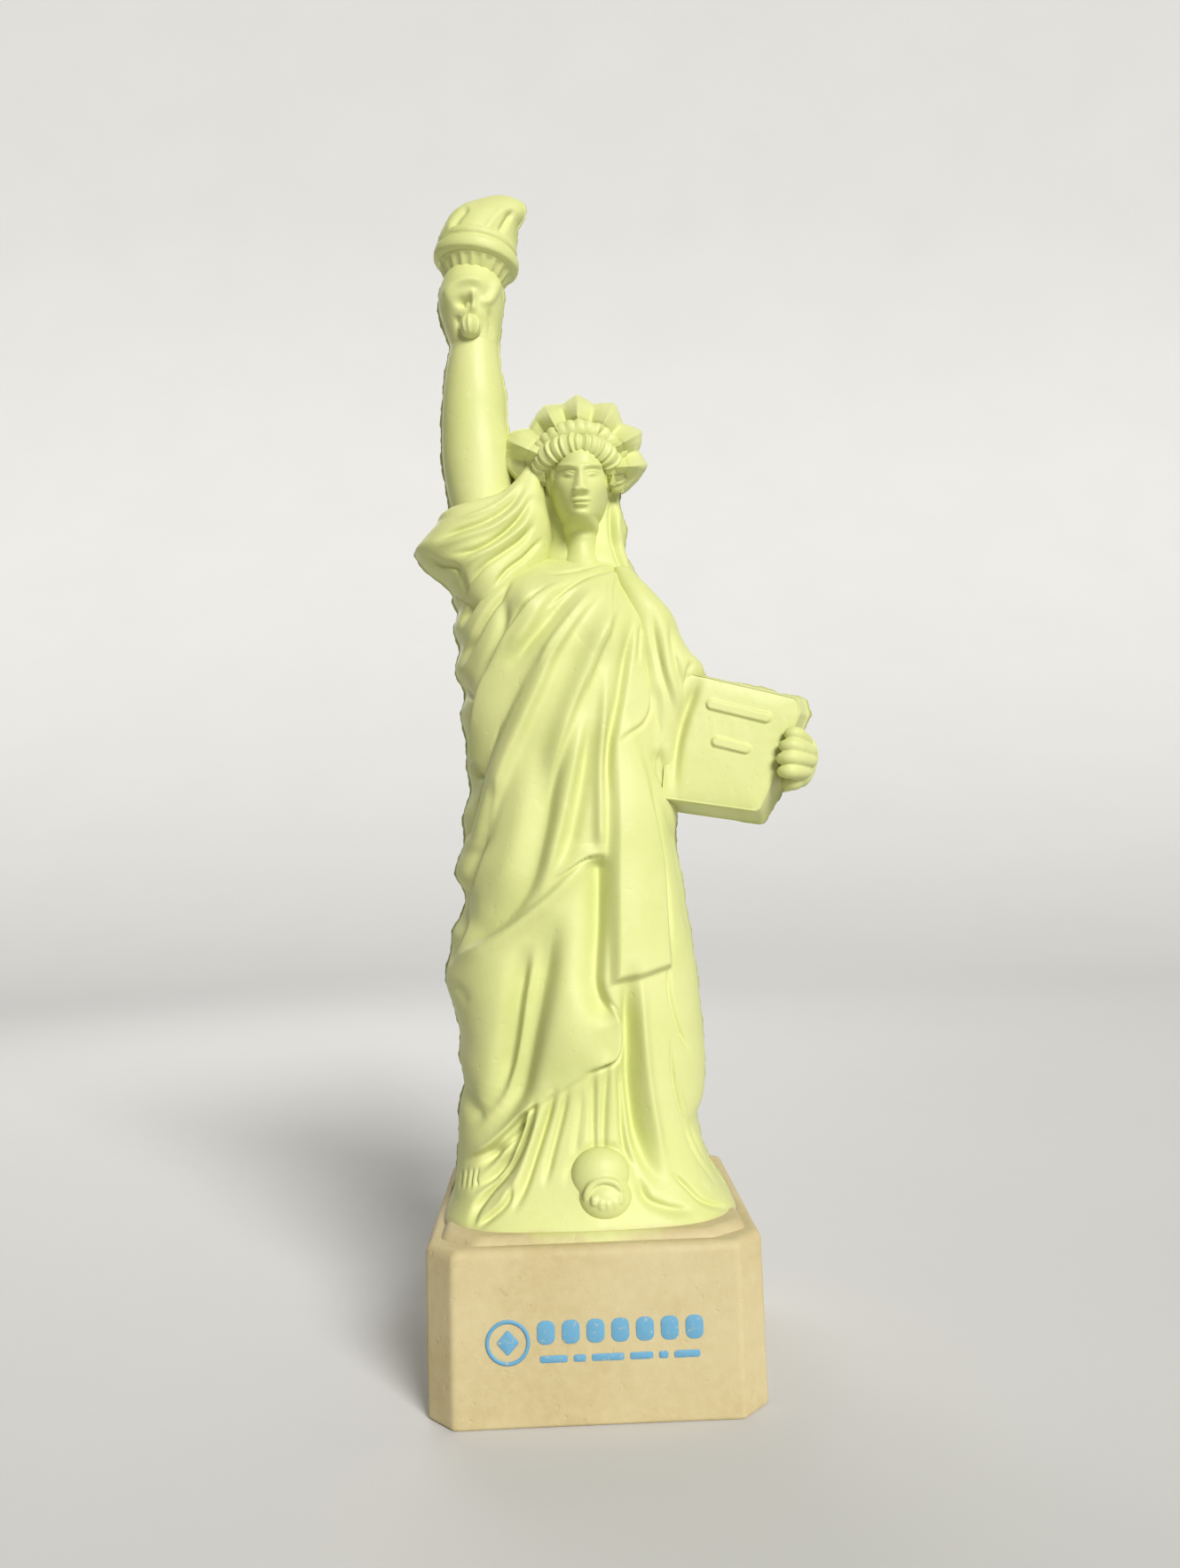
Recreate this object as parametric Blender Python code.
"""Foam souvenir statue: a robed, crowned figure raises a torch and holds a tablet, on an octagonal pedestal.

The figure faces -Y, its raised arm is on the -X side, and the origin is the centre of the pedestal's underside.
The statue is cast in a two-part mould whose parting plane is y = 0, so every section is widest there.
Lengths are written in millimetres, and each mesh is scaled to metres when it becomes an object.
"""

import math

import bmesh
import bpy
from mathutils import Matrix, Vector

MM = 0.001
GAP = 0.3  # left between neighbouring pieces
SECTION_POINTS = 40

# Pedestal and the low plinth on top of it: eight-sided blocks, as half widths in X and Y.
PEDESTAL_FOOT_HALF = (22.6, 22.7)
PEDESTAL_TOP_HALF = (22.4, 22.7)
PEDESTAL_HEIGHT = 22.7
PEDESTAL_CORNER = (3.7, 3.9)
PEDESTAL_ROUND = 1.3
PLINTH_HALF = (19.8, 20.3)
PLINTH_HEIGHT = 1.1
PLINTH_CORNER = (4.6, 3.2)
PLINTH_ROUND = 0.4

# Heights that the figure's parts meet at.
PLINTH_TOP = PEDESTAL_HEIGHT + GAP + PLINTH_HEIGHT
HEM = PLINTH_TOP + GAP
WRIST = 154.8
FIST_TOP = 164.4
GALLERY_TOP = 170.2
STATUE_HEIGHT = 178.4

# Robe sections: height, left edge, right edge, depth in front of and behind the parting plane.
ROBE = (
    (HEM, -19.9, 19.6, 19.0, 18.6),
    (26.2, -19.5, 18.6, 17.4, 16.8),
    (30.0, -19.4, 17.2, 16.2, 15.8),
    (35.0, -19.0, 16.3, 15.8, 15.2),
    (41.0, -18.5, 17.4, 15.8, 15.0),
    (48.0, -19.0, 17.5, 15.9, 15.0),
    (55.2, -20.6, 17.1, 16.0, 14.8),
    (62.0, -19.6, 16.4, 15.9, 14.4),
    (70.0, -18.6, 15.2, 15.5, 14.0),
    (77.0, -17.6, 14.4, 15.0, 13.6),
    (85.0, -16.6, 14.6, 14.6, 13.4),
    (92.0, -17.0, 15.0, 14.4, 13.4),
    (100.0, -17.8, 15.2, 14.2, 13.2),
    (107.0, -18.2, 14.6, 13.8, 12.6),
    (112.0, -17.6, 13.4, 12.6, 11.4),
    (116.0, -15.0, 10.2, 9.8, 9.2),
    (118.6, -9.6, 8.0, 6.6, 6.6),
)
ROBE_FLUTES = 11
FLUTE_DEPTH = 0.022  # as a share of the section's radius, at the hem
FLUTE_TWIST = 0.045  # radians for each millimetre of height

# Sleeve that falls from the raised arm: height, left edge, right edge, depth front and back.
RIGHT_SLEEVE = (
    (113.6, -18.6, -12.0, 4.6, 4.6),
    (117.0, -21.6, -9.6, 7.2, 6.6),
    (120.8, -24.1, -7.0, 8.6, 7.8),
    (124.0, -21.4, -6.0, 7.8, 7.2),
    (127.2, -18.7, -7.6, 5.8, 5.6),
)
# Raised arm, the same way.
RAISED_ARM = (
    (127.2 + GAP, -18.4, -8.6, 4.9, 4.7),
    (131.5, -19.2, -8.8, 5.1, 4.9),
    (137.0, -19.7, -9.1, 5.1, 4.9),
    (143.0, -19.5, -9.8, 4.8, 4.6),
    (149.0, -19.0, -10.2, 4.4, 4.2),
    (WRIST, -18.1, -10.5, 3.9, 3.7),
)
# Fist round the torch, the same way.
RAISED_FIST = (
    (WRIST + GAP, -18.2, -10.5, 3.9, 3.7),
    (158.0, -19.2, -10.2, 4.7, 4.5),
    (161.5, -19.5, -9.9, 4.9, 4.7),
    (FIST_TOP, -18.4, -10.6, 4.1, 4.0),
)
FIST_FINGERS = 4
FIST_FINGER_SIZE = (1.5, 1.4, 1.15)
FIST_FINGER_X = -17.2
FIST_FINGER_FRONT = -4.1

# Torch, as turned profiles about its axis: radius and height.
TORCH_AXIS = (-14.9, -4.6)
HANDLE_PROFILE = (
    (0.6, 154.9),
    (1.7, 155.6),
    (2.0, 156.8),
    (1.7, 158.0),
    (1.0, 158.6),
    (1.1, 164.5),
)
GALLERY_CENTRE = (-13.7, 0.0)
GALLERY_PROFILE = (
    (3.9, FIST_TOP + GAP),
    (5.0, 165.8),
    (6.2, 166.7),
    (6.6, 167.4),
    (6.6, 168.6),
    (6.0, 169.2),
    (6.1, GALLERY_TOP),
)
# Flame sections: height, centre in X, half width, half depth.
FLAME = (
    (GALLERY_TOP + GAP, -13.6, 5.9, 5.4),
    (172.6, -13.4, 5.8, 5.0),
    (174.8, -12.4, 5.6, 4.3),
    (176.6, -10.9, 4.9, 3.2),
    (177.8, -9.4, 3.5, 1.9),
    (STATUE_HEIGHT, -8.8, 1.6, 0.8),
)
TURNED_STEPS = 32

# Head, neck and hair. The hair is a cap over the skull with a veil behind the neck.
HEAD_CENTRE = (1.4, -3.8, 129.6)
HEAD_HALF = (4.7, 6.0, 6.9)
NECK_RADIUS = 3.5
NECK_BASE = 118.6 + GAP
HAIR_CENTRE = (1.4, -0.4, 134.0)
HAIR_HALF = (6.2, 8.1, 6.6)
# Veil: height, left edge, right edge, depth front and back.
VEIL = (
    (118.6 + GAP, -4.8, 8.2, 1.6, 5.6),
    (123.0, -5.0, 8.3, 1.9, 6.6),
    (128.0, -5.2, 7.9, 2.2, 7.4),
    (133.0, -4.6, 7.4, 2.4, 7.4),
)

# Crown: a fan of seven rays in the parting plane, on a band round the top of the head.
CROWN_CENTRE = (1.5, 133.6)
CROWN_RAYS = 7
CROWN_FIRST_ANGLE = 4.0
CROWN_LAST_ANGLE = 176.0
RAY_TIP = 11.8
RAY_NOTCH = 9.5
CROWN_DEPTH = (-2.6, 1.4)
BAND_CENTRE = (1.4, -1.6, 138.0)
BAND_HALF = (6.4, 7.2, 1.0)
BAND_THICKNESS = 1.6
BAND_LEAN = 24.0

# Left sleeve and forearm under the mantle.
LEFT_SLEEVE = (
    (82.5, 9.0, 17.6, 6.4, 6.6),
    (88.0, 9.0, 19.0, 8.2, 7.4),
    (95.0, 8.6, 19.6, 9.4, 8.0),
    (101.6, 8.0, 19.8, 9.6, 8.4),
    (106.0, 7.6, 16.8, 9.2, 8.2),
    (110.0, 7.2, 15.3, 8.6, 7.8),
    (113.0, 7.0, 13.2, 7.4, 6.8),
)
# Tablet: corners in X and Z at the parting plane and at its front face, in order round the edge.
TABLET_EDGE = ((15.2, 79.8), (28.2, 77.5), (35.8, 97.2), (20.0, 101.2))
TABLET_FACE = ((15.0, 81.6), (26.2, 79.2), (33.4, 95.6), (18.6, 99.4))
TABLET_FRONT = -9.0
TABLET_BACK = 2.6
TABLET_ROUND = 0.8

# Hand that holds the tablet's outer edge.
TABLET_HAND_PALM = (33.2, -3.4, 87.0)
TABLET_HAND_HALF = (2.7, 5.6, 4.6)
TABLET_HAND_LEAN = -22.0
TABLET_FINGERS = 4
TABLET_FINGER_HALF = (2.5, 1.5, 1.15)
TABLET_FINGER_FIRST = (30.6, -9.4, 84.4)
TABLET_FINGER_LAST = (32.0, -9.4, 90.4)

# Loose end of the mantle, hanging down the front, and the sandalled foot under the hem.
MANTLE_CORNERS = ((3.4, 57.0), (11.2, 58.6), (9.9, 97.0), (4.4, 97.0))
MANTLE_FRONT = -17.4
MANTLE_BACK = -10.0
FOOT = (
    (HEM, 2.0, 3.6, -19.3),
    (27.0, 2.0, 3.9, -19.2),
    (30.0, 2.0, 3.7, -18.6),
    (32.4, 2.0, 2.9, -17.6),
    (33.6, 2.0, 1.4, -16.2),
)
FOOT_BACK = -10.0

# Paint on the foam: base colour and roughness.
GREEN = ((0.76, 0.82, 0.33, 1.0), 0.50)
BEIGE = ((0.74, 0.61, 0.34, 1.0), 0.62)


def clear_scene():
    for obj in list(bpy.data.objects):
        bpy.data.objects.remove(obj)


def foam_material(name, paint):
    colour, roughness = paint
    material = bpy.data.materials.new(name)
    material.use_nodes = True
    shader = material.node_tree.nodes["Principled BSDF"]
    shader.inputs["Base Color"].default_value = colour
    shader.inputs["Roughness"].default_value = roughness
    shader.inputs["Metallic"].default_value = 0.0
    return material


def empty_at(name, location, parent=None):
    empty = bpy.data.objects.new(name, None)
    empty.location = Vector(location) * MM
    empty.parent = parent
    bpy.context.scene.collection.objects.link(empty)
    return empty


def object_from(bm, name, paint, parent=None, smooth_angle=40.0):
    """A closed bmesh in millimetres becomes a named object in metres, smooth up to the given angle."""
    bmesh.ops.recalc_face_normals(bm, faces=bm.faces)
    bmesh.ops.scale(bm, vec=(MM, MM, MM), verts=bm.verts)
    mesh = bpy.data.meshes.new(name)
    bm.to_mesh(mesh)
    bm.free()
    mesh.materials.append(foam_material(f"{name}_foam", paint))
    mesh.shade_smooth()
    mesh.set_sharp_from_angle(angle=math.radians(smooth_angle))
    obj = bpy.data.objects.new(name, mesh)
    obj.parent = parent
    bpy.context.scene.collection.objects.link(obj)
    return obj


def loft(rings, endless=False):
    """A closed bmesh through rings of equally many points, capped flat unless it is endless."""
    bm = bmesh.new()
    loops = [[bm.verts.new(point) for point in ring] for ring in rings]
    for lower, upper in zip(loops, loops[1:] + loops[:1] if endless else loops[1:]):
        for i in range(len(lower)):
            j = (i + 1) % len(lower)
            bm.faces.new((lower[i], lower[j], upper[j], upper[i]))
    if not endless:
        bm.faces.new(loops[0])
        bm.faces.new(loops[-1])
    return bm


def oval(height, left, right, front, back, flute=0.0):
    """One section of a casting: two half ellipses that meet in the parting plane, optionally fluted."""
    centre, half = (left + right) / 2, (right - left) / 2
    ring = []
    for i in range(SECTION_POINTS):
        angle = 2 * math.pi * i / SECTION_POINTS
        fold = 1 + flute * (math.cos(ROBE_FLUTES * angle + FLUTE_TWIST * height) - 1)
        depth = front if math.sin(angle) > 0 else back
        ring.append(
            Vector((centre + half * math.cos(angle) * fold, -depth * math.sin(angle) * fold, height))
        )
    return ring


def octagon(half, corner, height):
    """The corners of a rectangle with cut corners, going round from its front left."""
    x, y = half
    cut_x, cut_y = corner
    quarter = ((x, y - cut_y), (x - cut_x, y))
    points = [(-a, -b) for a, b in quarter] + [(a, -b) for a, b in reversed(quarter)]
    points += [(a, b) for a, b in quarter] + [(-a, b) for a, b in reversed(quarter)]
    return [Vector((a, b, height)) for a, b in points]


def add_bevel(obj, width, segments):
    bevel = obj.modifiers.new("edge_round", "BEVEL")
    bevel.width = width * MM
    bevel.segments = segments
    bevel.limit_method = "ANGLE"
    bevel.angle_limit = math.radians(25)


def ellipsoid(centre, half, lean=0.0, segments=24, rings=14):
    """A closed bmesh ball, stretched to the given half sizes and leaned about Y, in degrees."""
    bm = bmesh.new()
    bmesh.ops.create_uvsphere(bm, u_segments=segments, v_segments=rings, radius=1.0)
    place = Matrix.Translation(centre) @ Matrix.Rotation(math.radians(lean), 4, "Y")
    bm.transform(place @ Matrix.Diagonal((*half, 1.0)))
    return bm


def turned(profile, axis, steps=TURNED_STEPS):
    """A closed bmesh turned about a vertical axis, from an upward profile of (radius, height)."""
    rings = [
        [
            Vector((axis[0] + radius * math.cos(a), axis[1] + radius * math.sin(a), height))
            for a in (2 * math.pi * i / steps for i in range(steps))
        ]
        for radius, height in profile
    ]
    return loft(rings)


def helper_from(bm, name):
    """A hidden object for a Boolean."""
    helper = object_from(bm, name, GREEN)
    helper.hide_render = True
    helper.display_type = "WIRE"
    return helper


def join_body(obj, bm, name):
    """Boolean union of one more shape into obj."""
    union = obj.modifiers.new(name, "BOOLEAN")
    union.operation = "UNION"
    union.object = helper_from(bm, f"{obj.name}_{name}")


def grown(obj, name):
    """A hidden copy of obj, pushed outwards by the gap that neighbouring pieces keep."""
    bpy.context.view_layer.update()
    graph = bpy.context.evaluated_depsgraph_get()
    bm = bmesh.new()
    bm.from_mesh(bpy.data.meshes.new_from_object(obj.evaluated_get(graph)))
    bm.transform(obj.matrix_world)
    bmesh.ops.scale(bm, vec=(1 / MM,) * 3, verts=bm.verts)
    bmesh.ops.remove_doubles(bm, verts=bm.verts, dist=0.02)
    bm.normal_update()
    moves = [vert.normal * GAP * min(vert.calc_shell_factor(), 1.6) for vert in bm.verts]
    for vert, move in zip(bm.verts, moves):
        vert.co += move
    return helper_from(bm, name)


def clear_of(obj, *neighbours):
    """Cuts obj back so that it keeps the gap to each neighbour."""
    for neighbour in neighbours:
        cut = obj.modifiers.new(f"clear_of_{neighbour.name}", "BOOLEAN")
        cut.operation = "DIFFERENCE"
        cut.object = grown(neighbour, f"{obj.name}_gap_to_{neighbour.name}")


def make_pedestal():
    bm = loft(
        [
            octagon(PEDESTAL_FOOT_HALF, PEDESTAL_CORNER, 0.0),
            octagon(PEDESTAL_TOP_HALF, PEDESTAL_CORNER, PEDESTAL_HEIGHT),
        ]
    )
    pedestal = object_from(bm, "pedestal", BEIGE)
    add_bevel(pedestal, PEDESTAL_ROUND, 3)
    return pedestal


def make_plinth():
    bm = loft([octagon(PLINTH_HALF, PLINTH_CORNER, z) for z in (0.0, PLINTH_HEIGHT)])
    plinth = object_from(bm, "plinth", BEIGE)
    plinth.location.z = (PEDESTAL_HEIGHT + GAP) * MM
    add_bevel(plinth, PLINTH_ROUND, 2)
    return plinth


def make_robe(figure):
    top, bottom = ROBE[-1][0], ROBE[0][0]
    rings = [
        oval(*station, flute=FLUTE_DEPTH * (top - station[0]) / (top - bottom)) for station in ROBE
    ]
    return object_from(loft(rings), "robe", GREEN, figure)


def make_foot(figure, robe):
    rings = []
    for height, centre, half, front in FOOT:
        middle, reach = (front + FOOT_BACK) / 2, (FOOT_BACK - front) / 2
        angles = (2 * math.pi * i / TURNED_STEPS for i in range(TURNED_STEPS))
        rings.append(
            [Vector((centre + half * math.cos(a), middle + reach * math.sin(a), height)) for a in angles]
        )
    foot = object_from(loft(rings), "sandalled_foot", GREEN, figure)
    clear_of(foot, robe)
    return foot


def make_mantle(figure, robe):
    rings = [[Vector((x, y, z)) for x, z in MANTLE_CORNERS] for y in (MANTLE_BACK, MANTLE_FRONT)]
    mantle = object_from(loft(rings), "mantle_end", GREEN, figure)
    add_bevel(mantle, 0.7, 2)
    clear_of(mantle, robe)
    return mantle


def make_right_sleeve(figure, robe):
    sleeve = object_from(loft([oval(*s) for s in RIGHT_SLEEVE]), "right_sleeve", GREEN, figure)
    clear_of(sleeve, robe)
    return sleeve


def make_left_sleeve(figure, robe):
    sleeve = object_from(loft([oval(*s) for s in LEFT_SLEEVE]), "left_sleeve", GREEN, figure)
    clear_of(sleeve, robe)
    return sleeve


def make_tablet(figure, robe, left_sleeve):
    edge, face = TABLET_EDGE, TABLET_FACE
    layers = ((face, TABLET_FRONT), (edge, -0.4), (edge, 0.4), (face, TABLET_BACK))
    rings = [[Vector((x, y, z)) for x, z in corners] for corners, y in layers]
    tablet = object_from(loft(rings), "tablet", GREEN, figure)
    add_bevel(tablet, TABLET_ROUND, 2)
    clear_of(tablet, robe, left_sleeve)
    return tablet


def make_tablet_hand(figure, tablet):
    palm = ellipsoid(TABLET_HAND_PALM, TABLET_HAND_HALF, TABLET_HAND_LEAN)
    hand = object_from(palm, "tablet_hand", GREEN, figure)
    first, last = Vector(TABLET_FINGER_FIRST), Vector(TABLET_FINGER_LAST)
    for i in range(TABLET_FINGERS):
        centre = first.lerp(last, i / (TABLET_FINGERS - 1))
        finger = ellipsoid(centre, TABLET_FINGER_HALF, lean=12.0, segments=14, rings=8)
        join_body(hand, finger, f"finger_{i + 1}")
    clear_of(hand, tablet)
    return hand


def make_torch(figure):
    """Handle, gallery and flame share an empty; the handle is returned for the hand to close on."""
    torch = empty_at("torch", (0.0, 0.0, 0.0), figure)
    handle = object_from(turned(HANDLE_PROFILE, TORCH_AXIS, 20), "torch_handle", GREEN, torch)
    object_from(turned(GALLERY_PROFILE, GALLERY_CENTRE), "torch_gallery", GREEN, torch)
    rings = []
    for height, centre, half, depth in FLAME:
        rings.append(oval(height, centre - half, centre + half, depth, depth))
    object_from(loft(rings), "torch_flame", GREEN, torch)
    return handle


def make_raised_arm(figure, handle):
    arm = object_from(loft([oval(*s) for s in RAISED_ARM]), "raised_arm", GREEN, figure)
    clear_of(arm, handle)
    return arm


def make_raised_hand(figure, handle):
    hand = object_from(loft([oval(*s) for s in RAISED_FIST]), "raised_hand", GREEN, figure)
    low, high = WRIST + 2.6, FIST_TOP - 1.4
    for i in range(FIST_FINGERS):
        height = low + (high - low) * i / (FIST_FINGERS - 1)
        centre = (FIST_FINGER_X, FIST_FINGER_FRONT, height)
        join_body(hand, ellipsoid(centre, FIST_FINGER_SIZE, segments=14, rings=8), f"finger_{i + 1}")
    clear_of(hand, handle)
    return hand


def make_hair(figure, right_sleeve, arm):
    hair = object_from(ellipsoid(HAIR_CENTRE, HAIR_HALF, segments=32, rings=20), "hair", GREEN, figure)
    join_body(hair, loft([oval(*s) for s in VEIL]), "veil")
    clear_of(hair, right_sleeve, arm)
    return hair


def crown_outline():
    """Tips and notches of the fan of rays, in X and Z, closed below by a straight edge."""
    step = (CROWN_LAST_ANGLE - CROWN_FIRST_ANGLE) / (CROWN_RAYS - 1)
    points = []
    for i in range(CROWN_RAYS):
        tip = math.radians(CROWN_FIRST_ANGLE + step * i)
        points.append((RAY_TIP, tip))
        if i < CROWN_RAYS - 1:
            points.append((RAY_NOTCH, tip + math.radians(step / 2)))
    x, z = CROWN_CENTRE
    return [(x + r * math.cos(a), z + r * math.sin(a)) for r, a in points]


def crown_band():
    """An oval ring that leans back on the head."""
    half_x, half_y, half_z = BAND_HALF
    rings = []
    for i in range(SECTION_POINTS):
        a = 2 * math.pi * i / SECTION_POINTS
        rings.append(
            [
                Vector(((half_x + grow) * math.cos(a), (half_y + grow) * math.sin(a), z))
                for grow, z in (
                    (-BAND_THICKNESS, -half_z),
                    (0.0, -half_z),
                    (0.0, half_z),
                    (-BAND_THICKNESS, half_z),
                )
            ]
        )
    bm = loft(rings, endless=True)
    bm.transform(Matrix.Translation(BAND_CENTRE) @ Matrix.Rotation(math.radians(BAND_LEAN), 4, "X"))
    return bm


def make_crown(figure, hair, arm):
    rings = [[Vector((x, y, z)) for x, z in crown_outline()] for y in reversed(CROWN_DEPTH)]
    crown = object_from(loft(rings), "crown", GREEN, figure)
    join_body(crown, crown_band(), "band")
    clear_of(crown, hair, arm)
    return crown


def make_head(figure, hair, crown):
    head = object_from(ellipsoid(HEAD_CENTRE, HEAD_HALF, segments=32, rings=20), "head", GREEN, figure)
    axis = (HEAD_CENTRE[0] + 0.2, HEAD_CENTRE[1] + 0.6)
    neck = turned(((NECK_RADIUS + 0.8, NECK_BASE), (NECK_RADIUS, 122.0), (NECK_RADIUS, 127.5)), axis, 24)
    join_body(head, neck, "neck")
    clear_of(head, hair, crown)
    return head


def main():
    clear_scene()
    make_pedestal()
    make_plinth()
    figure = empty_at("figure", (0.0, 0.0, 0.0))
    robe = make_robe(figure)
    make_foot(figure, robe)
    make_mantle(figure, robe)
    right_sleeve = make_right_sleeve(figure, robe)
    left_sleeve = make_left_sleeve(figure, robe)
    tablet = make_tablet(figure, robe, left_sleeve)
    make_tablet_hand(figure, tablet)
    handle = make_torch(figure)
    arm = make_raised_arm(figure, handle)
    make_raised_hand(figure, handle)
    hair = make_hair(figure, right_sleeve, arm)
    crown = make_crown(figure, hair, arm)
    make_head(figure, hair, crown)


main()
